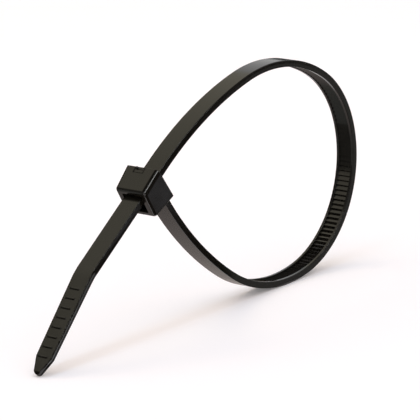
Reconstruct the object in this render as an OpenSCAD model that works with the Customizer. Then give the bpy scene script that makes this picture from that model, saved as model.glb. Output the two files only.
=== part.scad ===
// A self-locking cable tie, moulded in one piece: a square head with a slot and
// a spring pawl, and a toothed strap that leaves the head, goes round in a loop,
// passes back through the slot and ends in a plain ridged tail.
// It stands on the bottom of its loop and on the tip of its tail.
// X runs along the length, Y along the width of the strap, Z is up.

/* [Strap] */
// Width of the strap
strap_w = 4.8; // [4.2:0.1:5.4]
// Thickness of the strap over its side rails
strap_t = 1.5; // [1.3:0.05:1.7]
// Width of each plain rail beside the teeth
rail_w = 0.7; // [0.5:0.05:1]
// Depth from the rails to the roots of the teeth
root_depth = 0.5; // [0.4:0.05:0.6]
// Height of a tooth above its root
tooth_h = 0.4; // [0.25:0.05:0.45]
// Distance from one tooth to the next
tooth_pitch = 1.2; // [1:0.05:1.6]
// Length of plain strap between the head and the first tooth
plain_len = 6; // [4:0.5:10]
// Bevel along the edges of the strap
edge_cut = 0.1; // [0.05:0.05:0.25]

/* [Loop] */
// Slope of the slot and of the strap that runs through it
slot_slope = 36; // [33:0.2:39]
// Straight length where the strap leaves the head
root_straight = 4.6; // [3:0.1:6.5]
// Turn of the long bend below the head
root_bend_turn = 20.8; // [18:0.1:23]
// Radius of the bend that the loop stands on
low_bend_r = 37.8; // [36:0.1:41]
// Turn of the bend that the loop stands on
low_bend_turn = 45.5; // [43:0.1:49]
// Radius of the tightest bend, at the far end of the loop
far_bend_r = 24.8; // [23.5:0.1:27]
// Turn of the tightest bend
far_bend_turn = 135.9; // [133:0.1:139]
// Radius of the bend at the top of the loop
top_bend_r = 38.1; // [35:0.1:40]
// Turn of the bend at the top of the loop
top_bend_turn = 45.8; // [43:0.1:48]
// Radius of the long bend above the head
entry_bend_r = 88.5; // [82:0.5:96]

/* [Head] */
// Length of the head along its slot
head_len = 6.7; // [6.2:0.1:7.6]
// Height of the head at the face where the strap goes in
head_h_in = 8; // [7.6:0.1:8.6]
// Height of the head at the face where the strap comes out
head_h_out = 6.5; // [6.2:0.1:7]
// Width of the head at the face where the strap goes in
head_w_in = 9; // [8.6:0.1:9.8]
// Width of the head at the face where the strap comes out
head_w_out = 7.9; // [7.6:0.1:8.6]
// How much further the exit face reaches at its root side
exit_lean = 0.6; // [0.3:0.05:0.8]
// Thickness of the lip between the slot and the outer face
lip_t = 0.85; // [0.7:0.05:1.1]
// Clearance between the strap and the lip
lip_gap = 0.7; // [0.4:0.05:0.9]
// Clearance beside the strap in the slot
side_gap = 0.2; // [0.15:0.05:0.35]
// Wall between the pawl's chamber and the root face
chamber_floor = 0.8; // [0.6:0.05:1]
// Rounding of the long edges of the head
head_round = 0.5; // [0.3:0.05:0.7]
// Bevel around the entry face
entry_cut = 0.15; // [0.1:0.05:0.3]
// Bevel around the exit face
exit_cut = 0.3; // [0.15:0.05:0.4]
// Distance from the entry face to the strap that leaves the head
root_inset = 0.15; // [0.1:0.05:0.4]
// Depth to which the strap is sunk in the root face
root_sink = 1.9; // [1.5:0.1:2.2]

/* [Pawl] */
// Clearance between the pawl and the strap
pawl_gap = 0.12; // [0.08:0.02:0.2]
// Length of the pawl from its hinge to its free end
pawl_len = 3.6; // [3.2:0.1:4]
// Thickness of the pawl at its hinge
pawl_t = 1; // [0.8:0.05:1.2]
// Clearance between the pawl and the rails on each side
pawl_side_gap = 0.25; // [0.15:0.05:0.4]
// Number of teeth on the pawl
pawl_teeth = 3; // [2:1:3]
// Distance from one tooth of the pawl to the next
pawl_pitch = 0.8; // [0.6:0.05:1]
// Height of a tooth of the pawl
pawl_tooth_h = 0.3; // [0.2:0.05:0.35]
// Distance from the free end of the pawl to the exit face
pawl_free = 1; // [0.6:0.1:1.4]

/* [Notch] */
// Width of the stepped notch in the outer face
notch_w = 2.1; // [1.6:0.1:2.8]
// Length of the notch from the entry face
notch_len = 1.4; // [1:0.1:1.8]
// Depth of each of the two steps of the notch
notch_step = 0.2; // [0.1:0.05:0.3]
// Diameter of the moulding nub at the corner of the notch
nub_d = 0.6; // [0.4:0.05:0.8]

/* [Tail] */
// Slope of the plain tail beyond its bend
tail_slope = 48; // [46:0.2:51]
// Radius of the bend between the toothed strap and the plain tail
tail_bend_r = 10; // [7:0.5:14]
// Length of the plain tail beyond its bend
tail_len = 23.3; // [20:0.1:26]
// Thickness of the plain tail
tail_t = 1.4; // [1.2:0.05:1.45]
// Width of the plain tail where it narrows to its tip
tail_w = 4.1; // [3.8:0.1:4.6]
// Length of the tapered tip
tip_len = 4; // [3:0.1:5]
// Radius of the rounded end of the tip
tip_r = 0.9; // [0.7:0.05:1.3]
// Bevel at the end of the outer face
tip_cut = 0.5; // [0.2:0.05:0.7]
// Distance from one grip ridge to the next
ridge_pitch = 2.36; // [2:0.02:3]
// Length of a grip ridge across the tail
ridge_len = 2.7; // [2:0.1:3.2]
// Width of a grip ridge along the tail
ridge_w = 0.4; // [0.3:0.05:0.6]
// Height of a grip ridge above the tail
ridge_h = 0.2; // [0.1:0.05:0.3]
// Distance from the bend to the first grip ridge
ridge_start = 2.7; // [1.5:0.1:3.5]

/* [Hidden] */
$fn = 180;

// Small overlap that joins two touching forms into one
weld = 0.1;
// Every other run of the strap is a hair thinner and reaches into the runs beside it
shy = 0.01;
reach = 0.4;
nylon = [0.1, 0.1, 0.1];

half_w = strap_w / 2;
half_t = strap_t / 2;
half_tail = tail_t / 2;

// Headings are angles from +X towards +Z, and the strap leaves at right angles to the slot
slot_heading = 180 + slot_slope;
root_heading = slot_heading - 270;
tail_heading = 180 + tail_slope;
tail_turn = tail_heading - slot_heading;
entry_bend_turn = 270 - root_bend_turn - low_bend_turn - far_bend_turn - top_bend_turn;

// A point is [x, z]; left is the side of the teeth, inside the loop
function ahead(h) = [cos(h), sin(h)];
function left(h) = [-sin(h), cos(h)];
function cross2(a, b) = a.x * b.y - a.y * b.x;
function turned(h, turn) = left(h) - left(h + turn);

// The head's own axes: along the slot, and from the slot towards the root
v_out = -(half_t + lip_gap + lip_t);
v_mid = v_out + head_h_out / 2;
u_in = -head_len / 2;
u_out = head_len / 2;
v_top_in = v_mid - head_h_in / 2;
v_low_in = v_mid + head_h_in / 2;
v_low_out = v_mid + head_h_out / 2;
root_u = u_in + root_inset + half_t;
root_v = v_low_in - root_sink;
// Fall of the outer face along the slot, per mm
flare = (head_h_in - head_h_out) / 2 / head_len;
pawl_u = u_out - pawl_free - pawl_len;
pawl_v = half_t + pawl_gap;

// The slot's centre is the zero point of the path, and the strap starts inside the head
root_point = root_u * ahead(slot_heading) + root_v * left(slot_heading);

// The long bend below the head and the straight above it close the loop on the slot
h1 = root_heading + root_bend_turn;
h2 = h1 + low_bend_turn;
h3 = h2 + far_bend_turn;
h4 = h3 + top_bend_turn;
open_part = root_point + root_straight * ahead(root_heading)
    + low_bend_r * turned(h1, low_bend_turn) + far_bend_r * turned(h2, far_bend_turn)
    + top_bend_r * turned(h3, top_bend_turn) + entry_bend_r * turned(h4, entry_bend_turn);
root_arm = turned(root_heading, root_bend_turn);
slot_arm = ahead(slot_heading);
root_bend_r = -cross2(open_part, slot_arm) / cross2(root_arm, slot_arm);
entry_straight = -cross2(root_arm, open_part) / cross2(root_arm, slot_arm);

// A run of the path is [straight length, bend radius, turn]
loop_runs = [
    [root_straight, 0, 0],
    [0, root_bend_r, root_bend_turn],
    [0, low_bend_r, low_bend_turn],
    [0, far_bend_r, far_bend_turn],
    [0, top_bend_r, top_bend_turn],
    [0, entry_bend_r, entry_bend_turn]
];

function run_len(run) = run[1] > 0 ? run[1] * run[2] * PI / 180 : run[0];
// A state is [point, heading, distance along the path]
function go(state, run, s) =
    let (h = state[1], turn = run[1] > 0 ? s / run[1] * 180 / PI : 0)
    [state[0] + (run[1] > 0 ? run[1] * turned(h, turn) : s * ahead(h)), h + turn, state[2] + s];
function states(runs, state, i = 0) =
    i == len(runs) ? [state]
    : concat([state], states(runs, go(state, runs[i], run_len(runs[i])), i + 1));

root_state = [root_point, root_heading, 0];
loop_states = states(loop_runs, root_state);

// The loop stands on the lowest point of its bends
function thinner(i) = i % 2 == 1 ? shy : 0;
function faces(i, heading) =
    loop_runs[i][1] > 0 && loop_states[i][1] <= heading && loop_states[i][1] + loop_runs[i][2] >= heading;
function outer_point(i, heading) =
    let (r = loop_runs[i][1], h = loop_states[i][1])
    loop_states[i][0]
    + (faces(i, heading) ? r * left(h) - (r + half_t - thinner(i)) * left(heading) : [0, 0]);
loop_ids = [0:len(loop_runs) - 1];
floor_z = min([for (i = loop_ids) outer_point(i, 0).y]);
right_x = max([for (i = loop_ids) outer_point(i, 90).x]);

// The tail's faces stand back a little from the strap's, and their outer faces nearly line up
step_back = 0.05;
tail_shift = half_t - half_tail - step_back;
half_tail_w = half_w - step_back;
half_grip = half_tail - shy;

// The tail runs straight out of the slot, then bends down until its tip meets the floor
tail_arc = tail_bend_r * turned(slot_heading, tail_turn);
function tip_corners(cut) = [[0, half_grip - cut], [cut, half_grip]];
tip_low = [for (c = tip_corners(edge_cut))
    (c[0] - tail_len) * sin(tail_slope) + (tail_shift - c[1]) * cos(tail_slope)];
tail_drop = tail_arc.y + min(tip_low);
tail_run = (-floor_z + tail_drop) / sin(slot_slope);
strap_runs = concat(loop_runs, [[entry_straight + tail_run, 0, 0]]);
strap_states = states(strap_runs, root_state);
strap_len = strap_states[len(strap_runs)][2];

bend_point = strap_states[len(strap_runs)][0];
tail_point = bend_point + tail_arc;
tip_left = min([for (c = tip_corners(tip_cut))
    tail_point.x - (tail_len - c[0]) * cos(tail_slope) - (c[1] + tail_shift) * sin(tail_slope)]);
middle_x = (tip_left + right_x) / 2;

// Place and heading at a distance along the toothed strap
function run_at(s, i = 0) =
    i + 1 < len(strap_runs) && s > strap_states[i + 1][2] ? run_at(s, i + 1) : i;
function place(s) = let (i = run_at(s)) go(strap_states[i], strap_runs[i], s - strap_states[i][2]);
function beside(s, off) = let (p = place(s)) p[0] + off * left(p[1]);

// Each tooth rises steeply, over this share of the pitch, and falls away gently towards the tail
tooth_rise = 0.15;
tooth_count = floor((strap_len - weld) / tooth_pitch);
root_off = half_t - root_depth;
function tip_off(s) = s > plain_len ? root_off + tooth_h : root_off;
tooth_line = [for (i = [0:tooth_count - 1], k = [0, 1])
    let (s = (i + k * tooth_rise) * tooth_pitch)
    beside(s, k == 0 ? root_off : tip_off(s))];
back_line = [for (i = [tooth_count:-1:0]) beside(i * tooth_pitch, 0)];

module at(point, heading) translate([point.x, 0, point.y]) rotate([0, -heading, 0]) children();

// Draws a side view, given as [along, across], as a plate of width w
module plate(w) rotate([90, 0, 0]) translate([0, 0, -w / 2]) linear_extrude(w) children();

// A bevelled bar section: t is half its thickness and w half its width
module bar_section(t, w) {
    c = edge_cut;
    polygon([
        [t, c - w], [t, w - c], [t - c, w], [c - t, w],
        [-t, w - c], [-t, c - w], [c - t, -w], [t - c, -w]
    ]);
}

// Section of the toothed strap: x points away from the teeth
module strap_section(inset) {
    groove = strap_w - 2 * rail_w;
    difference() {
        bar_section(half_t - inset, half_w - inset);
        translate([-half_t - weld, -groove / 2]) square([root_depth + 2 * weld, groove]);
    }
}

// Sweeps a section along one straight or bent run that starts at the origin along +X
module sweep(run, more = 0) {
    if (run[1] > 0) {
        over = more / run[1] * 180 / PI;
        translate([0, 0, run[1]]) rotate([90, 0, 0]) rotate([0, 0, -90 - over])
            rotate_extrude(angle = run[2] + 2 * over) translate([run[1], 0]) children();
    } else
        translate([-more, 0, 0]) rotate([0, 90, 0]) linear_extrude(run[0] + 2 * more) children();
}

module strap_body() {
    for (i = [0:len(strap_runs) - 1])
        at(strap_states[i][0], strap_states[i][1])
            sweep(strap_runs[i], thinner(i) > 0 ? reach : 0) strap_section(thinner(i));
}

module teeth() {
    plate(strap_w - 2 * rail_w + 2 * weld) polygon(concat(tooth_line, back_line));
}

// Outline of the plain tail seen on its face, with a rounded tip
module tail_plan() {
    shoulder = tail_len - tip_len;
    nose = tail_len - tip_r;
    // The flanks of the tip touch the round end where its radius stands at right angles to them
    flank = norm([nose - shoulder, tail_w / 2]);
    touch = atan2(tail_w / 2, shoulder - nose) - acos(tip_r / flank);
    polygon([
        [-reach, -half_w], [0, -half_w], [shoulder, -tail_w / 2],
        [nose + tip_r * cos(touch), -tip_r * sin(touch)], [nose + tip_r * cos(touch), tip_r * sin(touch)],
        [shoulder, tail_w / 2], [0, half_w], [-reach, half_w]
    ]);
    translate([nose, 0]) circle(tip_r);
}

// Side view of the plain tail, bevelled at its end
module tail_side() {
    polygon([
        [-2 * reach, -half_t], [tail_len + half_grip - half_t - tip_cut, -half_t],
        [tail_len, tip_cut - half_grip], [tail_len, half_grip - edge_cut],
        [tail_len + half_grip - half_t - edge_cut, half_t], [-2 * reach, half_t]
    ]);
}

module grip_ridges() {
    count = floor((tail_len - tip_len / 2 - ridge_start) / ridge_pitch) + 1;
    for (i = [0:count - 1])
        translate([ridge_start + i * ridge_pitch - ridge_w / 2, -ridge_len / 2, -half_grip - ridge_h])
            cube([ridge_w, ridge_len, ridge_h + weld]);
}

module tail_grip() {
    intersection() {
        translate([0, 0, -half_t]) linear_extrude(strap_t) tail_plan();
        sweep([tail_len, 0, 0], reach) bar_section(half_grip, half_tail_w - shy);
        plate(strap_w + 2 * weld) tail_side();
    }
    grip_ridges();
}

// The tail's bend reaches back inside the strap, and the grip reaches back inside the bend
module tail() {
    at(bend_point - tail_shift * left(slot_heading), slot_heading)
        sweep([0, tail_bend_r + tail_shift, tail_turn], reach) bar_section(half_tail, half_tail_w);
    at(tail_point - tail_shift * left(tail_heading), tail_heading) tail_grip();
}

// Side view that bevels the entry and exit edges of the head; it stands clear of the faces between
module head_side() {
    clear = head_h_in;
    v_top_out = v_mid - head_h_out / 2;
    u_top = u_out - exit_lean / 2;
    u_low = u_out + exit_lean / 2;
    polygon([
        [u_in, v_top_in + entry_cut], [u_in + entry_cut + clear, v_top_in - clear],
        [u_top - exit_cut, v_top_out - clear], [u_top - exit_cut, v_top_out],
        [u_top, v_top_out + exit_cut], [u_low, v_low_out - exit_cut],
        [u_low - exit_cut, v_low_out], [u_low - exit_cut, v_low_out + clear],
        [u_in + entry_cut + clear, v_low_in + clear], [u_in, v_low_in - entry_cut]
    ]);
}

module round_rect(w, h, r) {
    square([w - 2 * r, h], center = true);
    square([w, h - 2 * r], center = true);
    for (x = [-1, 1], y = [-1, 1]) translate([x * (w / 2 - r), y * (h / 2 - r)]) circle(r);
}

// The block narrows evenly from the entry face to the exit face, and its long edges are rounded
module head_block() {
    block_len = head_len + exit_lean;
    ratio = block_len / head_len;
    shrink_h = 1 - (1 - head_h_out / head_h_in) * ratio;
    shrink_w = 1 - (1 - head_w_out / head_w_in) * ratio;
    intersection() {
        translate([u_in, 0, v_mid]) rotate([0, 90, 0])
            linear_extrude(block_len, scale = [shrink_h, shrink_w], slices = 1, $fn = 24)
                round_rect(head_h_in, head_w_in, head_round);
        plate(head_w_in + 2 * weld) head_side();
    }
}

// Slot for the strap and the open chamber under it
module head_hollow() {
    cut_len = head_len + exit_lean + 2 * weld;
    slot_w = strap_w + 2 * side_gap;
    slot_top = -(half_t + lip_gap);
    chamber_end = v_low_out - chamber_floor;
    translate([u_in - weld, -slot_w / 2, slot_top]) cube([cut_len, slot_w, pawl_v - slot_top]);
    plate(slot_w) polygon([
        [pawl_u, pawl_v - weld], [u_out + cut_len, pawl_v - weld],
        [u_out + cut_len, chamber_end], [pawl_u + pawl_t, chamber_end]
    ]);
}

// The pawl is a springy finger that points at the exit face, with teeth towards the strap
module pawl() {
    tip_u = pawl_u + pawl_len;
    first_u = tip_u - pawl_teeth * pawl_pitch;
    root_v_out = pawl_v + pawl_tooth_h;
    pawl_points = [for (i = [0:pawl_teeth - 1], k = [0, 1])
        [first_u + (i + k) * pawl_pitch - k * weld / 2, pawl_v + (1 - k) * pawl_tooth_h]];
    plate(strap_w - 2 * rail_w - 2 * pawl_side_gap) polygon(concat(
        [[pawl_u - weld, root_v_out]], pawl_points,
        [[tip_u, pawl_v + pawl_t], [pawl_u + pawl_t, root_v_out + pawl_t]],
        [[pawl_u - weld, pawl_v + 2 * pawl_t]]
    ));
}

// A shallow notch with two steps at the entry edge of the outer face, and a moulding nub
module notch_cut() {
    for (k = [1, 2])
        translate([u_in - weld, -notch_w / 2, v_top_in - head_h_in])
            cube([weld + notch_len / k, notch_w, head_h_in + notch_step * k + notch_len * flare]);
}

module nub() {
    translate([u_in + weld / 2, notch_w / 2 + nub_d, v_top_in + nub_d / 4])
        rotate([0, 90, 0]) cylinder(d = nub_d, h = nub_d);
}

module head() {
    difference() {
        head_block();
        head_hollow();
        notch_cut();
    }
    pawl();
    nub();
}

module cable_tie() color(nylon) translate([-middle_x, 0, -floor_z]) {
    strap_body();
    teeth();
    tail();
    at([0, 0], slot_heading) head();
}

cable_tie();
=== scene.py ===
"""The looks of a black nylon cable tie that stands in a loop on a pale studio floor.

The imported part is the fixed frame. Its one moulded solid is shown by three
surfaces that are worked out with numpy from the same sizes: the toothed strap,
the head with its slot and pawl, and the plain tail with its grip ridges.
Sizes are in millimetres until a mesh is made.
"""

import logging
import math
from dataclasses import dataclass

import bpy
import numpy as np
from bpy.types import ID, Material, Node, NodeSocket, Object, World
from mathutils import Matrix, Vector
from numpy.typing import NDArray


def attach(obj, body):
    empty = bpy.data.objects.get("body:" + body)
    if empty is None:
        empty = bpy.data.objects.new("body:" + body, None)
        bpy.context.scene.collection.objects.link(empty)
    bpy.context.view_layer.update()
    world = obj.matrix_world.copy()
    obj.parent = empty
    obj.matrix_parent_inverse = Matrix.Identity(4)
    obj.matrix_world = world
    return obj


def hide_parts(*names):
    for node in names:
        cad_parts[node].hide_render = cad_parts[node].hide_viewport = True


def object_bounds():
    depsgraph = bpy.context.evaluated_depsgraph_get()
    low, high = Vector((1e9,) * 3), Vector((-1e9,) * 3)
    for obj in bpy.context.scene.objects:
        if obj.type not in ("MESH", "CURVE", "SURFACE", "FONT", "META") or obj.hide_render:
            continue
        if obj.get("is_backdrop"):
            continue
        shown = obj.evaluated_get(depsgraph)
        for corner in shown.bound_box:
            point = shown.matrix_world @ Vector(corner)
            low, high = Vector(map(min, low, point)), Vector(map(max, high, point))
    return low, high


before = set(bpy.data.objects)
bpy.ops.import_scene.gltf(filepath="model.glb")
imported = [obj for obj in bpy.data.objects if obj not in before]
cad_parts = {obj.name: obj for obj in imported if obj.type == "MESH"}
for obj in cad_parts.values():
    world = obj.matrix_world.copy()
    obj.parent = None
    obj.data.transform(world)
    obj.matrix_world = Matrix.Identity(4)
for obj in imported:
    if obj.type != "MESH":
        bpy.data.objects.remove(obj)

Array = NDArray[np.float64]
Colour = tuple[float, float, float, float]
Pair = tuple[float, float]
Corners = tuple[tuple[float, float, float], ...]
Holder = Material | World

LOG = logging.getLogger("cable_tie")
MM = 0.001
# Lengths in millimetres that are less than any size, and more than any
TINY, BEYOND = 1e-6, 9
ROUND_OFF = 1e-9
CAD_NODE = "cable_tie"
BODY = "root"
SHARP_ANGLE = math.radians(32)


# ---- the path


@dataclass(frozen=True)
class Run:
    """One stretch of a middle line: a straight, or a bend where it has a radius."""

    length: float = 0.0
    radius: float = 0.0
    turn: float = 0.0

    @property
    def span(self) -> float:
        """Length along the middle line."""
        return self.radius * math.radians(self.turn) if self.radius else self.length


def ahead(heading: Array | float) -> Array:
    """Unit vector (x, z) along a heading in radians: (cos h, sin h)."""
    return np.stack([np.cos(heading), np.sin(heading)], axis=-1)


def left(heading: Array | float) -> Array:
    """Unit vector (x, z) to the left of a heading, the side of the teeth: (-sin h, cos h)."""
    return np.stack([-np.sin(heading), np.cos(heading)], axis=-1)


def turned(heading: float, turn: float) -> Array:
    """Way from start to end of a bend of radius 1, with heading and turn in degrees."""
    return left(math.radians(heading)) - left(math.radians(heading + turn))


class MiddleLine:
    """A chain of tangent runs in the XZ plane, with a place for each distance along it."""

    def __init__(self, runs: list[Run], start: Array, heading: float) -> None:
        """Works out where each run starts.

        Args:
            runs: the runs in order.
            start: first point (x, z).
            heading: first heading in degrees.
        """
        points, headings, distances = [np.array(start, float)], [heading], [0.0]
        for run in runs:
            step = (
                run.radius * turned(headings[-1], run.turn)
                if run.radius
                else run.length * ahead(math.radians(headings[-1]))
            )
            points.append(points[-1] + step)
            headings.append(headings[-1] + run.turn)
            distances.append(distances[-1] + run.span)
        self.points = np.array(points)
        self.headings = np.radians(headings)
        self.distances = np.array(distances)
        self.curvatures = np.array([1 / r.radius if r.radius else 0.0 for r in runs])

    @property
    def length(self) -> float:
        """Whole length of the line."""
        return float(self.distances[-1])

    def at(self, s: Array) -> tuple[Array, Array]:
        """Points and headings at distances s.

        On a run of curvature k that starts at p with heading h, the heading is
        h + k d and the point is p + (left(h) - left(h + k d)) / k, or
        p + d ahead(h) where k is zero.

        Args:
            s: distances along the line.

        Returns:
            Points of shape (n, 2) and headings of shape (n,) in radians.
        """
        last = len(self.curvatures) - 1
        run = np.clip(np.searchsorted(self.distances, s, side="right") - 1, 0, last)
        d = s - self.distances[run]
        h, k = self.headings[run], self.curvatures[run]
        safe = np.where(k == 0, 1.0, k)
        bent = (left(h) - left(h + k * d)) / safe[:, None]
        straight = d[:, None] * ahead(h)
        return self.points[run] + np.where(k[:, None] == 0, straight, bent), h + k * d


def with_y(flat: Array, y: Array) -> Array:
    """Points (x, y, z) from points (x, z) and the Y of each."""
    return np.stack([flat[..., 0], np.broadcast_to(y, flat.shape[:-1]), flat[..., 1]], axis=-1)


def sweep(line: MiddleLine, s: Array, out: Array, across: Array) -> Array:
    """Carries a profile along a line: point = p(s) - out left(h(s)), with Y = across.

    Args:
        line: the middle line.
        s: distances, shape (n,).
        out: offsets away from the teeth, shape (n, m).
        across: offsets along Y, shape (n, m) or (m,).

    Returns:
        Grid of points of shape (n, m, 3) in millimetres, still in the path's own place.
    """
    point, heading = line.at(s)
    return with_y(point[:, None, :] - out[:, :, None] * left(heading)[:, None, :], across)


# ---- the sizes


@dataclass(frozen=True)
class TieSizes:
    """Every size that the strap, the head and the tail share, in millimetres and degrees."""

    # Strap and teeth
    strap_w: float = 4.8
    strap_t: float = 1.5
    rail_w: float = 0.7
    root_depth: float = 0.5
    tooth_h: float = 0.4
    tooth_pitch: float = 1.2
    tooth_rise: float = 0.15
    plain_len: float = 6.0
    # Loop, from the head round to the slot
    slot_slope: float = 36.0
    root_straight: float = 4.6
    root_bend_turn: float = 20.8
    low_bend_r: float = 37.8
    low_bend_turn: float = 45.5
    far_bend_r: float = 24.8
    far_bend_turn: float = 135.9
    top_bend_r: float = 38.1
    top_bend_turn: float = 45.8
    entry_bend_r: float = 88.5
    # Head, slot and chamber
    head_len: float = 6.7
    head_h_in: float = 8.0
    head_h_out: float = 6.5
    head_w_in: float = 9.0
    head_w_out: float = 7.9
    exit_lean: float = 0.6
    lip_t: float = 0.85
    lip_gap: float = 0.7
    side_gap: float = 0.2
    chamber_floor: float = 0.8
    root_inset: float = 0.15
    root_sink: float = 1.9
    # Pawl, and the nub beside the mark
    pawl_gap: float = 0.12
    pawl_len: float = 3.6
    pawl_t: float = 1.0
    pawl_side_gap: float = 0.25
    pawl_teeth: int = 3
    pawl_pitch: float = 0.8
    pawl_tooth_h: float = 0.3
    pawl_free: float = 1.0
    notch_w: float = 2.1
    nub_d: float = 0.6
    # Tail and grip ridges
    tail_slope: float = 48.0
    tail_bend_r: float = 10.0
    tail_len: float = 23.3
    tail_t: float = 1.4
    tail_w: float = 4.1
    tip_len: float = 4.0
    tip_r: float = 0.88
    tip_cut: float = 0.56
    ridge_pitch: float = 2.36
    ridge_len: float = 2.7
    ridge_w: float = 0.4
    ridge_h: float = 0.2
    ridge_start: float = 2.7
    # Strap past the slot, and the way to the part's frame
    tail_run: float = 23.8607
    step_back: float = 0.03
    middle_x: float = 20.6999
    floor_z: float = -33.1339

    @property
    def half_t(self) -> float:
        """Half the thickness of the strap."""
        return self.strap_t / 2

    @property
    def slot_heading(self) -> float:
        """Heading of the strap in the slot, in degrees."""
        return 180 + self.slot_slope

    @property
    def v_out(self) -> float:
        """Outer face of the head at its exit, from the slot's middle."""
        return -(self.half_t + self.lip_gap + self.lip_t)

    @property
    def v_mid(self) -> float:
        """Middle of the head's height, from the slot's middle."""
        return self.v_out + self.head_h_out / 2

    @property
    def u_in(self) -> float:
        """Entry face of the head, along the slot."""
        return -self.head_len / 2

    def head_point(self, u: Array, v: Array) -> Array:
        """Point (x, z) at u along the slot and v towards the root: u ahead + v left."""
        h = math.radians(self.slot_heading)
        return u[..., None] * ahead(h) + v[..., None] * left(h)

    def strap_line(self) -> MiddleLine:
        """The strap's middle line, from inside the head, round the loop and to the tail's bend.

        The radius of the bend below the head and the straight above it come from
        two linear equations: the sum of all the runs ends on the slot's middle.
        """
        u = self.u_in + self.root_inset + self.half_t
        v = self.v_mid + self.head_h_in / 2 - self.root_sink
        start = self.head_point(np.array(u), np.array(v))
        first = self.slot_heading - 270
        heading = first + self.root_bend_turn
        known = start + self.root_straight * ahead(math.radians(first))
        bends = [
            Run(radius=self.low_bend_r, turn=self.low_bend_turn),
            Run(radius=self.far_bend_r, turn=self.far_bend_turn),
            Run(radius=self.top_bend_r, turn=self.top_bend_turn),
        ]
        turn_left = self.slot_heading - sum((bend.turn for bend in bends), heading)
        bends += [Run(radius=self.entry_bend_r, turn=turn_left)]
        for bend in bends:
            known = known + bend.radius * turned(heading, bend.turn)
            heading += bend.turn
        slot = ahead(math.radians(self.slot_heading))
        arms = np.stack([turned(first, self.root_bend_turn), slot], axis=1)
        root_r, entry_straight = np.linalg.solve(arms, -known)
        runs = [
            Run(length=self.root_straight),
            Run(radius=float(root_r), turn=self.root_bend_turn),
            *bends,
            Run(length=float(entry_straight) + self.tail_run),
        ]
        return MiddleLine(runs, start, first)


# ---- meshes


@dataclass
class Shell:
    """Points in the path's place, in millimetres, with the faces between them."""

    points: Array
    faces: list[list[int]]


def grid_shell(points: Array, close_rows: bool = False) -> Shell:
    """Quads between neighbours of a grid whose columns close on themselves.

    Args:
        points: grid of shape (rows, columns, 3).
        close_rows: joins the last row to the first, as on a ring; open ends get a cap.

    Returns:
        The shell, closed all round.
    """
    rows, cols = points.shape[:2]
    index = np.arange(rows * cols).reshape(rows, cols)
    upper = index if close_rows else index[:-1]
    lower = np.roll(index, -1, axis=0) if close_rows else index[1:]
    corners = [upper, np.roll(upper, -1, axis=1), np.roll(lower, -1, axis=1), lower]
    faces = np.stack(corners, axis=-1).reshape(-1, 4).tolist()
    if not close_rows:
        faces += [index[0][::-1].tolist(), index[-1].tolist()]
    return Shell(points.reshape(-1, 3), faces)


def join(shells: list[Shell]) -> Shell:
    """Puts several shells into one, with the indices moved on."""
    faces: list[list[int]] = []
    start = 0
    for shell in shells:
        faces += [[i + start for i in face] for face in shell.faces]
        start += len(shell.points)
    return Shell(np.concatenate([s.points for s in shells]), faces)


def facing_out(shell: Shell) -> Shell:
    """Turns a shell over if its signed volume, the sum of a . (b x c) / 6, is negative."""
    fans = [(f[0], f[i], f[i + 1]) for f in shell.faces for i in range(1, len(f) - 1)]
    a, b, c = (shell.points[np.array(fans)[:, k]] for k in range(3))
    volume = float(np.einsum("ij,ij->i", a, np.cross(b, c)).sum()) / 6
    return shell if volume > 0 else Shell(shell.points, [f[::-1] for f in shell.faces])


def add_object(name: str, data: ID) -> Object:
    """Adds an object with this data to the scene."""
    thing = bpy.data.objects.new(name, data)
    bpy.context.scene.collection.objects.link(thing)
    return thing


def add_piece(name: str, shells: list[Shell], sizes: TieSizes, material: Material) -> None:
    """Args:
        name: name of the piece.
        shells: closed shells in the path's place.
        sizes: gives the way from the path's place to the part's frame.
        material: the finish.
    """
    shell = join([facing_out(s) for s in shells])
    place = (shell.points - np.array([sizes.middle_x, 0.0, sizes.floor_z])) * MM
    mesh = bpy.data.meshes.new(name)
    mesh.from_pydata(place.tolist(), [], shell.faces)
    mesh.validate()
    mesh.polygons.foreach_set("use_smooth", np.ones(len(mesh.polygons), dtype=bool))
    mesh.set_sharp_from_angle(angle=SHARP_ANGLE)
    mesh.materials.append(material)
    piece = add_object(name, mesh)
    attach(piece, BODY)
    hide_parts(CAD_NODE)
    LOG.info("%s: %d points, %d faces", name, len(mesh.vertices), len(mesh.polygons))


def arc(centre: Pair, radius: float, start: float, stop: float, count: int) -> Array:
    """Points centre + radius (cos t, sin t) for t from start to stop, in degrees."""
    t = np.radians(np.linspace(start, stop, count))
    return np.array(centre) + radius * np.stack([np.cos(t), np.sin(t)], axis=1)


# ---- the strap


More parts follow.
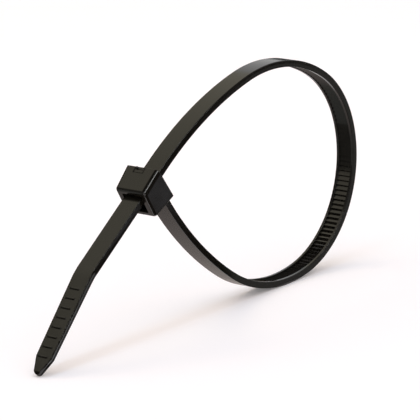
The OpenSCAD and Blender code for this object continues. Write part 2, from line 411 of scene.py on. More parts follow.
@dataclass(frozen=True)
class Strap:
    """The toothed strap: two rails, a sunk row of teeth between them, and a plain outer face.

    `near_more` and `inner_more` make the near side and the toothed side as full as
    the photograph shows them, and `under` keeps the rest just inside the solid.
    `hold` is the way from a rounding to the row that keeps the next face flat.
    """

    sizes: TieSizes
    far_round: float = 0.26
    near_round: float = 0.14
    inner_round: float = 0.12
    groove_round: float = 0.05
    near_more: float = 0.12
    inner_more: float = 0.12
    under: float = 0.014
    draft: float = 0.03
    hold: float = 0.03
    outer_points: int = 7
    inner_points: int = 6
    groove_points: int = 4
    slope_rows: Pair = (0.4, 0.7)
    last_gap: float = 0.1
    plain_end: float = 0.2

    def half_profile(self, w: float, ro: float) -> Array:
        """Half of the section, from the middle of the outer face to the middle of the tooth root.

        Args:
            w: how far the side lies from the middle.
            ro: radius of the outer edge.

        Returns:
            Points (out, across).
        """
        t = self.sizes.half_t - self.under
        b = t + self.inner_more
        side, groove = w - self.draft, w - self.sizes.rail_w
        floor = b - self.sizes.root_depth
        ri, rg, e = self.inner_round, self.groove_round, self.hold
        return np.concatenate(
            [
                [[t, 0], [t, w / 2], [t, side - ro - 3 * e], [t, side - ro - e]],
                arc((t - ro, side - ro), ro, 0, 90, self.outer_points),
                [[t - ro - e, side], [e, w], [-e, w], [ri + e - b, side]],
                arc((ri - b, side - ri), ri, 90, 180, self.inner_points),
                [[-b, side - ri - e], [-b, groove + rg + e]],
                arc((rg - b, groove + rg), rg, 180, 270, self.groove_points),
                [[2 * rg - b, groove], [-floor, groove], [-floor, groove - e]],
                [[-floor, groove / 2], [-floor, 0]],
            ]
        )

    def profile(self) -> tuple[Array, Array]:
        """Section of the strap at a tooth root. The near side is crisper than the far one.

        Returns:
            Points (out, across) round the section, and a weight of 1 on the points
            that follow the teeth.
        """
        w = self.sizes.strap_w / 2 - self.under
        far = self.half_profile(w, self.far_round)
        near = self.half_profile(w + self.near_more, self.near_round)
        weight = np.zeros(len(far))
        weight[-4:] = 1  # the last four points of a half lie on the tooth root
        ring = np.concatenate([far, near[-2:0:-1] * np.array([1, -1])])
        return ring, np.concatenate([weight, weight[-2:0:-1]])

    def tooth_height(self, s: Array) -> Array:
        """Sawtooth along the strap: up over the first share of a pitch, then evenly down."""
        z = self.sizes
        phase = np.mod(s / z.tooth_pitch + ROUND_OFF, 1.0)
        up = phase / z.tooth_rise
        down = (1 - phase) / (1 - z.tooth_rise)
        height = z.tooth_h * np.minimum(np.minimum(up, down), 1.0)
        return np.where(s > z.plain_len - TINY, height, 0.0)

    def stations(self, length: float) -> Array:
        """Distances along the strap that keep the root, the crest and the slope of each tooth."""
        z = self.sizes
        count = int((length - self.last_gap) // z.tooth_pitch)
        share = np.array([0.0, z.tooth_rise, *self.slope_rows])
        inner = (np.arange(count)[:, None] + share[None, :]).ravel() * z.tooth_pitch
        return np.append(inner, [count * z.tooth_pitch, length])

    def shells(self) -> list[Shell]:
        """The strap as one closed grid, from inside the head to the tail's bend."""
        line = self.sizes.strap_line()
        s = self.stations(line.length)
        ring, weight = self.profile()
        height = np.where(s < line.length - self.plain_end, self.tooth_height(s), 0.0)
        out = ring[None, :, 0] - height[:, None] * weight[None, :]
        return [grid_shell(sweep(line, s, out, ring[:, 1]))]


# ---- the head


# What a row of the head's grid follows: the outer skin, or the slot with its two rims
SKIN, HOLE = True, False


@dataclass(frozen=True)
class Head:
    """The head: a tapered block around a slot, with a chamber, a lip, a mark, a nub and the pawl.

    The block is one ring-shaped grid. Its rows run along the outer skin from the
    entry to the exit, in over the exit face, back along the slot's walls and out
    over the entry face. Its columns run round the slot.

    `more_v` and `more_y` make the head as full as the photograph shows it. `hold`,
    `rest` and `hair` lie between a rounding and the row that keeps a face flat.
    """

    sizes: TieSizes
    edge_round: float = 1.15
    far_round: float = 0.6
    root_round: float = 0.5
    entry_round: float = 0.1
    exit_round: float = 0.6
    rim_round: float = 0.1
    slot_round: float = 0.12
    least_round: float = 0.1
    hold: float = 0.04
    rest: float = 0.05
    hair: float = 0.02
    corner_points: int = 7
    turn_points: int = 6
    more_v: float = 0.35
    more_y: float = 0.22
    mark_y: float = 0.5
    mark_half: float = 1.4
    mark_len: float = 1.7
    mark_sink: float = 0.05
    line_w: float = 0.2
    line_sink: float = 0.16
    face_columns: Pair = (-1.9, 2.2)
    flank_shares: tuple[float, ...] = (0.2, 0.4, 0.6, 0.8)
    root_shares: tuple[float, ...] = (0.5, 0.0, -0.5)
    skin_rows: tuple[float, ...] = (2.5, 3.8, 5.0)
    wall_rows: Pair = (1.5, -2.2)
    ease: float = 0.05
    pawl_flank: float = 0.04
    pawl_bury: float = 0.1
    nub_in: float = 0.05
    nub_up: float = 0.04
    nub_points: int = 24

    def line_edges(self, end: float) -> list[float]:
        """Rows or columns for one fine outline of the mark that ends at `end`."""
        return [end - self.line_w - self.hair, end - self.line_w, end, end + self.hair]

    def ring(self, v0: Array, v1: Array, half_y: Array, radius: Array) -> tuple[Array, Array]:
        """Rounded rectangles from v0 to v1, half_y wide each way.

        Each row holds the same columns: the outer side with the mark's outlines,
        a corner, the far flank, a corner, the root side, a corner, the near flank
        and a corner.

        Args:
            v0: outer edge of each row.
            v1: root edge of each row.
            half_y: half the width of each row.
            radius: radius of each row's near outer corner, and most for the others.

        Returns:
            v and y, each of shape (rows, columns).
        """
        a, b, c, r = v0[:, None], v1[:, None], half_y[:, None], radius[:, None]
        q, f = np.minimum(r, self.root_round), np.minimum(r, self.far_round)
        e, m = self.hold, self.mark_y
        edge = self.line_edges(self.mark_half)
        first, last = self.face_columns
        mid = np.array([[first, *(m - x for x in edge[::-1]), m, *(m + x for x in edge), last]])
        turn = np.radians(np.linspace(0, 90, self.corner_points))[None, :]
        sin, cos = np.sin(turn), np.cos(turn)
        share = np.array([self.flank_shares])

        def flank(k: Array) -> Array:
            """Heights v down a flank, from an outer corner of radius k to a root corner."""
            top, foot = a + k + e, b - q - e
            return np.concatenate([top, top * (1 - share) + foot * share, foot], axis=1)

        top_y = np.concatenate([-(c - r - e), mid * np.ones_like(a), c - f - e], axis=1)
        low = c - q - e
        low_y = np.concatenate([low, low * np.array([self.root_shares]), -low], axis=1)
        side_y = c * np.ones((1, share.shape[1] + 2))
        parts = [
            (a * np.ones((1, top_y.shape[1])), top_y),
            (a + f - f * cos, c - f + f * sin),
            (flank(f), side_y),
            (b - q + q * sin, c - q + q * cos),
            (b * np.ones((1, low_y.shape[1])), low_y),
            (b - q + q * cos, -(c - q) - q * sin),
            (flank(r)[:, ::-1], -side_y),
            (a + r - r * sin, -(c - r) - r * cos),
        ]
        v, y = (np.concatenate(values, axis=1) for values in zip(*parts))
        return v, y

    def rows(self) -> list[tuple[bool, float, float]]:
        """Rows of the grid, as what each follows, its place along the slot and its inset."""
        z, rest = self.sizes, self.rest
        u0, u1 = z.u_in, z.head_len / 2
        ri, ro, rr = self.entry_round, self.exit_round, self.rim_round
        quarter = np.radians(np.linspace(0, 90, self.turn_points))
        marks = self.line_edges(self.mark_len / 2) + self.line_edges(self.mark_len)
        skin = [ri + rest, ri + rest + self.hair, *marks, *self.skin_rows]
        deep, shallow = self.wall_rows
        walls = [u1 - rr - rest, deep, self.chamber_u + z.pawl_t, self.chamber_u, shallow]
        walls += [u0 + rr + rest]
        rows: list[tuple[bool, float, float]] = []
        for q in quarter:
            rows += [(SKIN, u0 + ri - ri * math.cos(q), ri - ri * math.sin(q))]
        rows += [(SKIN, u0 + d, 0.0) for d in skin]
        rows += [(SKIN, u1 - ro - rest, 0.0)]
        for q in quarter:
            rows += [(SKIN, u1 - ro + ro * math.sin(q), ro - ro * math.cos(q))]
        rows += [(SKIN, u1, ro + rest), (HOLE, u1, rr + rest)]
        for q in quarter:
            rows += [(HOLE, u1 - rr + rr * math.cos(q), rr - rr * math.sin(q))]
        rows += [(HOLE, u, 0.0) for u in walls]
        for q in quarter:
            rows += [(HOLE, u0 + rr - rr * math.sin(q), rr - rr * math.cos(q))]
        rows += [(HOLE, u0, rr + rest), (SKIN, u0, ri + rest)]
        return rows

    @property
    def chamber_u(self) -> float:
        """Where the chamber and the pawl start, along the slot."""
        return self.sizes.head_len / 2 - self.sizes.pawl_free - self.sizes.pawl_len

    @property
    def pawl_v(self) -> float:
        """Face of the pawl towards the strap."""
        return self.sizes.half_t + self.sizes.pawl_gap

    def skin_box(self, u: Array, inset: Array) -> tuple[Array, Array, Array, Array]:
        """Outer outline at u, less the inset: sizes run evenly from the entry's to the exit's.

        Returns:
            v of the outer and the root side, half the width, and the near corner's radius.
        """
        z = self.sizes
        share = (u - z.u_in) / z.head_len
        height = z.head_h_in + (z.head_h_out - z.head_h_in) * share
        width = z.head_w_in + (z.head_w_out - z.head_w_in) * share
        half_v = height / 2 + self.more_v - inset
        half_y = width / 2 + self.more_y * np.clip(share, 0, 1) - inset
        radius = np.maximum(self.edge_round - inset, self.least_round)
        return z.v_mid - half_v, z.v_mid + half_v, half_y, radius

    def hole_box(self, u: Array, grow: Array) -> tuple[Array, Array, Array, Array]:
        """Outline of the slot at u, and of the chamber beyond the slanted wall behind the pawl."""
        z = self.sizes
        floor = z.v_mid + z.head_h_out / 2 - z.chamber_floor
        share = np.clip((u - self.chamber_u) / z.pawl_t, 0, 1)
        low = self.pawl_v + (floor - self.pawl_v) * share
        half_y = np.full_like(u, z.strap_w / 2 + z.side_gap)
        top = np.full_like(u, -(z.half_t + z.lip_gap))
        return top - grow, low + grow, half_y + grow, np.full_like(u, self.slot_round) + grow

    def mark(self, depth: Array, y: Array) -> Array:
        """How deep the outer face sinks at the mark: a little, and more along its fine outlines."""
        across, g = np.abs(y - self.mark_y), self.line_w
        inside = (across <= self.mark_half + TINY) & (depth <= self.mark_len + TINY)
        inside &= depth >= self.entry_round + self.rest + self.hair / 2
        outline = across >= self.mark_half - g - TINY
        for end in (self.mark_len / 2, self.mark_len):
            outline |= (depth >= end - g - TINY) & (depth <= end + TINY)
        return np.where(inside, np.where(outline, self.line_sink, self.mark_sink), 0.0)

    def block(self) -> Shell:
        """The block as a closed ring-shaped grid.

        A point's u is moved by lean (v - middle) / height, times its share of the
        way from entry to exit, so that the exit face leans. The outer face sinks at
        the mark by the entry.
        """
        z = self.sizes
        on_skin, u, inset = (np.array(values) for values in zip(*self.rows()))
        boxes = zip(self.skin_box(u, inset), self.hole_box(u, inset))
        v, y = self.ring(*(np.where(on_skin, skin, hole) for skin, hole in boxes))
        depth = u[:, None] - z.u_in
        v = np.where(on_skin[:, None] & (v < z.v_mid), v + self.mark(depth, y), v)
        share = np.clip(depth / z.head_len, 0, 1)
        leaned = u[:, None] + share * z.exit_lean * (v - z.v_mid) / z.head_h_out
        return grid_shell(with_y(z.head_point(leaned, v), y), close_rows=True)

    def prism(self, outline: Array, half_w: float) -> Shell:
        """A side outline (u, v) stretched along Y, with its edges eased by smaller ends."""
        centre = outline.mean(axis=0)
        shrunk = centre + (outline - centre) * (1 - self.ease / 2)
        u, v = np.moveaxis(np.stack([shrunk, outline, outline, shrunk]), -1, 0)
        y = np.array([[-half_w], [self.ease - half_w], [half_w - self.ease], [half_w]])
        return grid_shell(with_y(self.sizes.head_point(u, v), y))

    def pawl(self) -> Shell:
        """The springy finger that points at the exit, with teeth that meet the strap's."""
        z, start = self.sizes, self.chamber_u
        tip = start + z.pawl_len
        first = tip - z.pawl_teeth * z.pawl_pitch
        root_v = self.pawl_v + z.pawl_tooth_h
        outline = [(start - self.pawl_bury, root_v)]
        for tooth in range(z.pawl_teeth):
            foot = first + tooth * z.pawl_pitch
            crest = first + (tooth + 1) * z.pawl_pitch - self.pawl_flank
            outline += [(foot, root_v), (crest, self.pawl_v)]
        outline += [
            (tip, self.pawl_v + z.pawl_t),
            (start + z.pawl_t, root_v + z.pawl_t),
            (start - self.pawl_bury, self.pawl_v + 2 * z.pawl_t),
        ]
        return self.prism(np.array(outline), z.strap_w / 2 - z.rail_w - z.pawl_side_gap)

    def nub(self) -> Shell:
        """A small gate mark on the entry edge: a rounded peg, radius r(u) about its own axis."""
        z = self.sizes
        # Places along the peg, and its radius at each
        places = np.array([0.0, 0.02, 0.08, 0.18, 0.42, 0.52, 0.58, 0.6]) + z.u_in + self.nub_in
        radius = np.array([0.1, 0.18, 0.23, 0.25, 0.25, 0.23, 0.18, 0.1])[:, None]
        turn = np.linspace(0, 2 * math.pi, self.nub_points, endpoint=False)
        top = z.v_mid - z.head_h_in / 2 - self.more_v - self.nub_up
        v = top + radius * np.cos(turn)
        y = z.notch_w / 2 + z.nub_d / 2 + radius * np.sin(turn)
        return grid_shell(with_y(z.head_point(places[:, None], v), y))

    def shells(self) -> list[Shell]:
        """The block, the pawl and the nub."""
        return [self.block(), self.pawl(), self.nub()]


# ---- the tail


def soft_root(x: Array) -> Array:
    """Signed square root: sign(x) sqrt(|x|)."""
    return np.sign(x) * np.sqrt(np.abs(x))


@dataclass(frozen=True)
class Tail:
    """The plain tail: a short bend, a narrowing blade with a rounded tip, and grip ridges.

    `near_more` makes the near side as full as the photograph shows it. `hold` and
    `hair` keep faces flat, as on the head.
    """

    sizes: TieSizes
    strip: float = 0.34
    strip_drop: float = 0.04
    corner: float = 0.1
    ledge_top: float = 0.42
    ledge: float = 0.6
    ledge_in: float = 0.2
    far_round: float = 0.4
    near_more: float = 0.2
    full_from: float = 1.4
    hold: float = 0.04
    hair: float = 0.02
    corner_points: int = 8
    end_gap: float = 0.03
    groove: float = 0.12
    groove_w: float = 0.16
    groove_wall: float = 0.03
    tip_turns: tuple[float, ...] = (6, 15, 30, 45, 60, 70)
    nose_start: float = 0.75
    nose_points: int = 14
    body_start: float = 4.6
    body_points: int = 46
    tip_ease: float = 0.1
    tip_ease_len: float = 0.25
    ridge_fit: float = 1.9
    ridge_columns: tuple[float, ...] = (0.5, 0.98, 1.0)
    ridge_turn: float = 84
    ridge_points: tuple[int, int] = (15, 20)

    def line(self) -> MiddleLine:
        """The tail's middle line.

        It lies further out than the strap's, so that their outer faces meet.
        """
        z = self.sizes
        strap = z.strap_line()
        shift = z.half_t - z.tail_t / 2
        start = strap.points[-1] - shift * left(math.radians(z.slot_heading))
        bend = Run(radius=z.tail_bend_r + shift, turn=z.tail_slope - z.slot_slope)
        return MiddleLine([bend, Run(length=z.tail_len - self.end_gap)], start, z.slot_heading)

    def half_width(self, d: Array) -> Array:
        """Half the width at a distance d from the tip.

        The tip is a circle of radius r: w = sqrt(r^2 - (r - d)^2). A straight flank
        leaves it at its point of touch, where the radius stands at right angles to
        the flank, and runs to the shoulder. Another goes on to the strap's width.
        """
        z = self.sizes
        r = z.tip_r
        half, full = z.tail_w / 2, z.strap_w / 2 - z.step_back
        way = z.tip_len - r
        touch = math.atan2(half, -way) - math.acos(r / math.hypot(way, half))
        touch_d, touch_w = r - r * math.cos(touch), r * math.sin(touch)
        nose = np.sqrt(np.maximum(r * r - (r - np.minimum(d, r)) ** 2, 0))
        flank = touch_w + (half - touch_w) * (d - touch_d) / (z.tip_len - touch_d)
        body = half + (full - half) * (d - z.tip_len) / (z.tail_len - z.tip_len)
        return np.where(d < touch_d, nose, np.where(d < z.tip_len, flank, np.minimum(body, full)))

    def half_sections(self) -> tuple[Array, Array]:
        """Far and near half of the section, from the middle of the outer face to the inner's.

        Returns:
            Two tables. Each row is how far a point lies below the outer face, and how
            far in from the side, where BEYOND means as far as the middle.
        """
        t, c, f = self.sizes.tail_t, self.corner, self.far_round
        drop, top = self.strip_drop, self.ledge_top
        low = top + self.ledge
        flat = [(0, BEYOND)] * 4
        foot = [(t - 0.1, 0.01), (t - 0.03, 0.04), (t, 0.1), (t, 1.2), (t, BEYOND)]
        turn = np.radians(np.linspace(0, 90, self.corner_points))
        bend = [(f - f * math.cos(a), f - f * math.sin(a)) for a in turn]
        far = [*flat, (0, f + self.hold), *bend, (f + self.hold, 0), (low, 0), (t - 0.14, 0), *foot]
        near = [
            *flat,
            # A strip along the edge that slopes a little
            *((0, c + self.strip + self.hair), (0, c + self.strip), (drop, c)),
            # The rounded corner
            *((drop + 0.01, 0.5 * c), (drop + 0.04, 0.15 * c), (drop + 0.1, 0), (drop + 0.13, 0)),
            # The upright side, and the V-shaped flute that slopes in under it
            *((top - self.hair, 0), (top, 0), (low, self.ledge_in)),
            # The upright foot
            *((low + 0.05, 0.02), (low + 0.08, 0.01), *foot),
        ]
        return np.array(far, float), np.array(near, float)

    def stations(self, length: float) -> tuple[Array, Array]:
        """Distances from the tip, closer together at the tip and at each groove.

        Args:
            length: length of the middle line.

        Returns:
            The distances, and whether each lies in a groove.
        """
        z, g, wall = self.sizes, self.groove_w, self.groove_wall
        tip = z.tip_r * (1 - np.cos(np.radians(self.tip_turns)))
        nose = np.linspace(self.nose_start, z.tip_len, self.nose_points)
        body = np.linspace(self.body_start, length, self.body_points)
        foot = z.tail_len - self.end_gap - self.ridge_places()[:, None] - z.ridge_w / 2
        grooves = (foot + np.array([0.0, -wall, -g, -g - wall])).ravel()
        d = np.sort(np.concatenate([tip, nose, body, grooves]))
        return d, np.any((d > foot - g - wall / 3) & (d < foot - wall * 2 / 3), axis=0)

    def blade(self) -> Shell:
        """The blade as one closed grid.

        A fine groove runs along the lower side of each grip ridge. The section's
        insets shrink with the width at the tip. There the outer side slopes down,
        and the inner side only rounds off, by a quarter of an ellipse.
        """
        z = self.sizes
        line = self.line()
        d, grooved = self.stations(line.length)
        w = self.half_width(d)
        half = z.tail_t / 2
        outer = half - np.maximum(z.tip_cut - d, 0)
        ease = 1 - np.sqrt(1 - (1 - np.minimum(d / self.tip_ease_len, 1)) ** 2)
        body_share = np.clip((d - z.tip_len) / (line.length - z.tip_len), 0, 1)
        inner = half - self.tip_ease * ease + (z.strap_t - z.tail_t) * body_share
        shrink = np.minimum(w / self.full_from, 1.0)[:, None]
        columns = np.array(self.ridge_columns) * z.ridge_len / 2
        sides = []
        for table, more in zip(self.half_sections(), (0.0, self.near_more)):
            share, inset = table[:, 0] / z.tail_t, table[:, 1]
            depth = outer[:, None] * (1 - share) - inner[:, None] * share
            wide = (w + more * np.minimum(w, 1.0))[:, None]
            y = np.maximum(wide - inset * shrink, 0.0)
            y[:, [0, -1]] = 0
            fitted = y[:, 4:5] * columns / z.ridge_len * self.ridge_fit
            y[:, 1:4] = np.minimum(columns, fitted)
            depth[:, :3] -= self.groove * grooved[:, None]
            sides.append((depth, y))
        (far_out, far_y), (near_out, near_y) = sides
        out = np.concatenate([far_out, near_out[:, -2:0:-1]], axis=1)
        across = np.concatenate([far_y, -near_y[:, -2:0:-1]], axis=1)
        return grid_shell(sweep(line, line.length - d, out, across))

    def ridge_places(self) -> Array:
        """Distances of the grip ridges from the bend."""
        z = self.sizes
        count = int((z.tail_len - z.tip_len / 2 - z.ridge_start) // z.ridge_pitch) + 1
        return z.ridge_start + np.arange(count) * z.ridge_pitch

    def ridges(self) -> list[Shell]:
        """Grip ridges: closed rounded bars across the outer face.

        Each is a super-ellipsoid: along = a c(p) c(q), across = b s(q) and
        up = h s(p) c(q), where c and s are signed square roots of cosine and sine.
        """
        z = self.sizes
        line = self.line()
        bend = line.length - z.tail_len + self.end_gap
        rows, cols = self.ridge_points
        p = np.linspace(0, 2 * math.pi, cols, endpoint=False)[None, :]
        q = np.radians(np.linspace(-self.ridge_turn, self.ridge_turn, rows))[:, None]
        along = z.ridge_w / 2 * soft_root(np.cos(p)) * soft_root(np.cos(q))
        across = z.ridge_len / 2 * soft_root(np.sin(q))
        up = z.ridge_h * soft_root(np.sin(p)) * soft_root(np.cos(q))
        h = line.headings[-1]
        bars = []
        for place in self.ridge_places():
            base, _ = line.at(np.array([bend + place]))
            flat = base[0] + along[..., None] * ahead(h) - (z.tail_t / 2 + up)[..., None] * left(h)
            bars.append(grid_shell(with_y(flat, across)))
        return bars

    def shells(self) -> list[Shell]:
        """The blade and its ridges."""
        return [self.blade(), *self.ridges()]


# ---- finishes


def linear(code: str) -> Colour:
    """Turns an sRGB hex code into linear RGBA."""
    values = [int(code[i : i + 2], 16) / 255 for i in (1, 3, 5)]
    r, g, b = (v / 12.92 if v <= 0.04045 else ((v + 0.055) / 1.055) ** 2.4 for v in values)
    return (r, g, b, 1.0)


def add_node(
    holder: Holder, kind: str, settings: dict[str, object] | None = None, **sockets: object
) -> Node:
    """Adds a node, sets its options, and fills or links its inputs.

    Args:
        holder: what holds the node tree.
        kind: type name of the node, less its ShaderNode.
        settings: properties of the node.
        **sockets: input names, with spaces as underscores, or input numbers after
            an underscore, and a value or an output each.

    Returns:
        The node.
    """
    tree = holder.node_tree
    node = tree.nodes.new("ShaderNode" + kind)
    for key, value in (settings or {}).items():
        setattr(node, key, value)
    for key, value in sockets.items():
        by_number = key[1:].isdigit()
        target = node.inputs[int(key[1:]) if by_number else key.replace("_", " ")]
        if isinstance(value, NodeSocket):
            tree.links.new(value, target)
        else:
            target.default_value = value
    return node


def emptied(holder: Holder) -> Holder:
    """Turns a material's or a world's nodes on and clears them."""
    holder.use_nodes = True
    holder.node_tree.nodes.clear()
    return holder


@dataclass(frozen=True)
class MouldedNylon:
    """Black polyamide 66, injection moulded in a polished tool.

    The eye gets a nearly black body with a warm cast, a clear but not mirror-like
    gloss, and faint cloudy flow marks in the gloss.
    """

    name: str
    body: str = "#100E0B"
    cloud: str = "#181510"
    ior: float = 1.53
    specular: float = 0.5
    gloss_low: float = 0.13
    gloss_high: float = 0.2
    cloud_mm: float = 2.5
    cloud_low: float = 0.3
    cloud_high: float = 0.7
    grain_mm: float = 0.35
    grain_depth_mm: float = 0.004
    bump: float = 0.35

    def make(self) -> Material:
        """Builds the node material, with its patterns in the object's own millimetres."""
        material = emptied(bpy.data.materials.new(self.name))
        place = add_node(material, "TexCoord").outputs["Object"]
        # Flow marks: clouds a few millimetres across, left by the melt
        scale = 1 / (self.cloud_mm * MM)
        clouds = add_node(
            material, "TexNoise", Vector=place, Scale=scale, Detail=4.0, Roughness=0.55
        ).outputs["Fac"]
        # Skin of the tool: a fine orange peel, a third of a millimetre across
        scale = 1 / (self.grain_mm * MM)
        grain = add_node(
            material, "TexNoise", Vector=place, Scale=scale, Detail=2.0, Roughness=0.5
        ).outputs["Fac"]
        # Inputs 6 and 7 of the mix are its two colours
        colours = {"_6": linear(self.body), "_7": linear(self.cloud)}
        tint = add_node(material, "Mix", {"data_type": "RGBA"}, Factor=clouds, **colours)
        gloss = add_node(
            material,
            "MapRange",
            Value=clouds,
            From_Min=self.cloud_low,
            From_Max=self.cloud_high,
            To_Min=self.gloss_low,
            To_Max=self.gloss_high,
        )
        depth = self.grain_depth_mm * MM
        relief = add_node(material, "Bump", Strength=self.bump, Distance=depth, Height=grain)
        shader = add_node(
            material,
            "BsdfPrincipled",
            Base_Color=tint.outputs[2],
            Roughness=gloss.outputs["Result"],
            IOR=self.ior,
            Specular_IOR_Level=self.specular,
            Normal=relief.outputs["Normal"],
        )
        add_node(material, "OutputMaterial", Surface=shader.outputs["BSDF"])
        return material


# ---- the studio


@dataclass(frozen=True)
class Camera:
    """The photograph's view: a long lens, turned, tipped and rolled by measured angles."""

    place: tuple[float, float, float] = (-0.49961, -0.39542, 0.18924)
    round_deg: float = 51.827
    down_deg: float = 14.555
    roll: float = -0.02405
    focal_px: float = 2941.0
    frame_px: float = 420.0
    sensor_mm: float = 36.0
    clip: Pair = (0.05, 20.0)

    def build(self) -> None:
        """Adds the camera and makes it the scene's."""
        a, e = math.radians(self.round_deg), math.radians(self.down_deg)
        forward = Vector((math.sin(a) * math.cos(e), math.cos(a) * math.cos(e), -math.sin(e)))
        right = Vector((math.cos(a), -math.sin(a), 0.0))
        up = right.cross(forward)
        turned_right = right * math.cos(self.roll) + up * math.sin(self.roll)
        turned_up = up * math.cos(self.roll) - right * math.sin(self.roll)
        data = bpy.data.cameras.new("camera")
        data.sensor_width = self.sensor_mm
        data.lens = self.focal_px / self.frame_px * self.sensor_mm
        data.clip_start, data.clip_end = self.clip
        camera = add_object("camera", data)
        axes = Matrix((turned_right, turned_up, -forward)).transposed().to_4x4()
        camera.matrix_world = Matrix.Translation(self.place) @ axes
        bpy.context.scene.camera = camera


@dataclass(frozen=True)
class Softbox:
    """A studio lamp: its place, length and width in metres, its radiance and its tint."""

    name: str
    place: tuple[float, float, float]
    length: float
    width: float
    radiance: float
    tint: str = "#FFFFFF"
    aim_z: float = 0.025

    def build(self) -> None:
        """Adds the lamp, long in X and tipped to the loop.

        Its power is radiance times pi times area. It doesn't show in the gloss,
        where the panels and cards stand for it.
        """
        data = bpy.data.lights.new(self.name, "AREA")
        data.shape = "RECTANGLE"
        data.size, data.size_y = self.length, self.width
        data.energy = self.radiance * math.pi * self.length * self.width
        data.color = linear(self.tint)[:3]
        lamp = add_object(self.name, data)
        lamp.location = self.place
        tip = math.atan2(self.place[1], self.place[2] - self.aim_z)
        lamp.rotation_euler = (-tip, 0.0, 0.0)
        lamp.visible_glossy = False


def level(height: float, *corners: Pair) -> Corners:
    """Corners of a level card: each (x, y) at one height, in metres."""
    return tuple((x, y, height) for x, y in corners)


def oblong(height: float, x0: float, x1: float, y0: float, y1: float) -> Corners:
    """Corners of a level card from x0 to x1 and from y0 to y1, in metres."""
    return level(height, (x0, y0), (x1, y0), (x1, y1), (x0, y1))


def upright(start: Pair, stop: Pair, top: float) -> Corners:
    """Corners of a card that stands on the floor from start to stop, in metres."""
    return ((*start, 0.0), (*stop, 0.0), (*stop, top), (*start, top))


def add_sheet(name: str, corners: Corners, material: Material) -> Object:
    """Adds a flat sheet with the given corners, in metres."""
    mesh = bpy.data.meshes.new(name)
    mesh.from_pydata(list(corners), [], [tuple(range(len(corners)))])
    mesh.materials.append(material)
    return add_object(name, mesh)


@dataclass(frozen=True)
class Card:
    """A card that is seen in the gloss only: black to darken an edge, or glowing as a panel."""

    name: str
    corners: Corners
    glow: str = "#000000"
    strength: float = 1.0

    def build(self) -> None:
        """Adds the card, hidden from the camera, from diffuse light and from shadows."""
        material = emptied(bpy.data.materials.new(self.name))
        glow = add_node(material, "Emission", Color=linear(self.glow), Strength=self.strength)
        add_node(material, "OutputMaterial", Surface=glow.outputs[0])
        card = add_sheet(self.name, self.corners, material)
        card.visible_camera = card.visible_diffuse = False
        card.visible_transmission = card.visible_shadow = False
        card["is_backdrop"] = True


@dataclass(frozen=True)
class Studio:
    """White floor and surround, with soft lamps, and cards for the gloss."""

    floor_side: float = 6.0
    floor_colour: str = "#FFF5F4"
    room: float = 1.0
    fill: float = 0.135

    def seen(self, holder: Holder) -> NodeSocket:
        """1 for camera, glossy and transmission rays, so gloss shows the same background."""
        path = add_node(holder, "LightPath").outputs
        most = {"operation": "MAXIMUM"}
        both = add_node(holder, "Math", most, _0=path["Is Camera Ray"], _1=path["Is Glossy Ray"])
        every = add_node(holder, "Math", most, _0=both.outputs[0], _1=path["Is Transmission Ray"])
        return every.outputs[0]

    def floor(self) -> None:
        """A white floor that keeps the shadow; a little glow lifts the rest to white."""
        material = emptied(bpy.data.materials.new("white_paper_sweep"))
        paper = add_node(material, "BsdfDiffuse", Color=linear(self.floor_colour))
        seen = self.seen(material)
        lift = add_node(material, "Math", {"operation": "MULTIPLY"}, _0=seen, _1=self.fill)
        glow = add_node(material, "Emission", Strength=lift.outputs[0])
        both = add_node(material, "AddShader", _0=paper.outputs[0], _1=glow.outputs[0])
        add_node(material, "OutputMaterial", Surface=both.outputs[0])
        h = self.floor_side / 2
        floor = add_sheet("floor", oblong(0.0, -h, h, -h, h), material)
        floor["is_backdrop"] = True

    def surround(self) -> None:
        """The world: white where it is seen, and a plain level where it lights."""
        world = emptied(bpy.data.worlds.new("studio_surround"))
        strength = add_node(world, "MapRange", Value=self.seen(world), To_Min=self.room, To_Max=1.0)
        light = add_node(world, "Background", Strength=strength.outputs["Result"])
        add_node(world, "OutputWorld", Surface=light.outputs[0])
        bpy.context.scene.world = world

    def build(self) -> None:
        """Adds the floor, the surround, the lamps and the cards."""
        self.floor()
        self.surround()
        for lamp in LAMPS:
            lamp.build()
        for card in CARDS:
            card.build()


LAMPS = (
    Softbox("overhead_strip", (-0.08, 0.0, 0.7), 1.2, 0.1, 2.7, "#B4DFFF"),
    Softbox("back_softbox", (0.0, 0.5, 0.75), 0.4, 0.3, 2.0, "#FFF0C8"),
)

# Heights in metres: the cards overhead, and three layers just above the floor
CEILING = 0.8
LOW, MIDDLE, HIGH = 2e-4, 3e-4, 4e-4

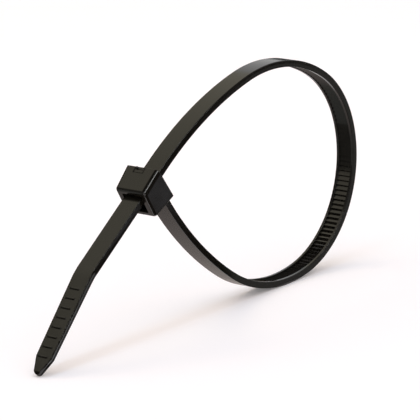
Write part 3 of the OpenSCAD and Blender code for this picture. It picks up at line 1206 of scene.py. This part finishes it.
CARDS = (
    # Overhead and in front, for the outer faces and the near edges
    Card(
        "dim_panel",
        level(
            CEILING, (-0.9, 0.3), (0.9, 0.3), (0.9, 1.6), (0.45, 1.6), (0.45, 0.86), (-0.9, 0.86)
        ),
        "#D6D0BC",
    ),
    Card("back_top_card", oblong(CEILING, -0.9, 0.45, 0.86, 2.2)),
    Card(
        "edge_panel",
        ((-0.6, -0.6, 0.8), (0.4, -0.6, 0.8), (0.4, -0.78, 0.78), (-0.6, -0.78, 0.78)),
        "#FFFFFF",
        9.0,
    ),
    Card("overhead_card", oblong(CEILING, -0.9, 0.6, -0.6, 0.3)),
    Card(
        "front_card",
        ((-0.7, -0.95, 0.0), (1.0, -0.95, 0.0), (1.0, -0.8, 0.85), (-0.7, -0.8, 0.85)),
    ),
    # On the floor, for the near sides, the tail's flute and the tip
    Card(
        "low_card",
        level(
            LOW, (-0.0575, -0.0026), (0.0, -0.016), (0.012, -0.016), (0.012, -0.003),
            (0.5, -0.003), (0.5, -0.9), (-0.2, -0.9),
        ),
    ),
    Card(
        "tail_panel",
        level(
            MIDDLE, (-0.054, -0.0032), (0.0, -0.0145), (0.01, -0.0145), (0.01, -0.004),
            (-0.05, -0.0024),
        ),
        "#FFFFFF",
        2.6,
    ),
    Card("tip_card", level(LOW, (-0.0572, -0.003), (-0.0572, 0.05), (-0.2, 0.2), (-0.2, -0.003))),
    Card("side_patch", oblong(HIGH, 0.03, 0.08, -0.068, -0.095), "#A6A6AC"),
    Card("root_patch", oblong(LOW, -0.06, 0.06, 0.003, 0.06), "#C8BDB8"),
    # On the left, for the teeth and the exit face
    Card("back_left_card", upright((-0.85, 0.1), (-0.25, 0.85), 0.64), "#5A5A56"),
    Card("left_panel", upright((-0.9, -0.2), (-0.9, 1.5), 1.3), "#6C6C68"),
    # To the right and behind, for the loop's near side and its inner side
    Card(
        "loop_patch",
        level(
            MIDDLE, (0.004, -0.003), (0.07, -0.045), (0.165, -0.112), (0.2, -0.16),
            (0.5, -0.16), (0.5, -0.003),
        ),
        "#828280",
    ),
    Card("back_low_card", oblong(LOW, -0.9, 0.9, 0.06, 0.5)),
    Card("inner_patch", oblong(HIGH, -0.3, 0.03, 0.03, 0.3), "#9A9C98"),
    Card("back_card", upright((-0.4, 0.8), (0.55, 0.8), 0.42)),
    Card("back_right_card", upright((0.3, 0.5), (0.9, 0.5), 0.1)),
)


# ---- the scene


def box_of(bounds: object) -> object:
    if isinstance(bounds, (int, float, str)):
        return bounds
    if isinstance(bounds, dict):
        return {key: box_of(value) for key, value in bounds.items()}
    return [box_of(value) for value in bounds]


def main() -> None:
    """Builds each piece in order, then the studio and the camera."""
    logging.basicConfig(level=logging.INFO, format="%(name)s: %(message)s")
    cad_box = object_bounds()
    bpy.context.scene.view_settings.view_transform = "Standard"
    sizes = TieSizes()
    nylon = MouldedNylon("moulded_black_nylon").make()
    add_piece("toothed_strap", Strap(sizes).shells(), sizes, nylon)
    add_piece("locking_head", Head(sizes).shells(), sizes, nylon)
    add_piece("ridged_tail", Tail(sizes).shells(), sizes, nylon)
    Studio().build()
    Camera().build()
    {"cad": box_of(cad_box), "visual": box_of(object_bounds())}


if __name__ == "__main__":
    main()
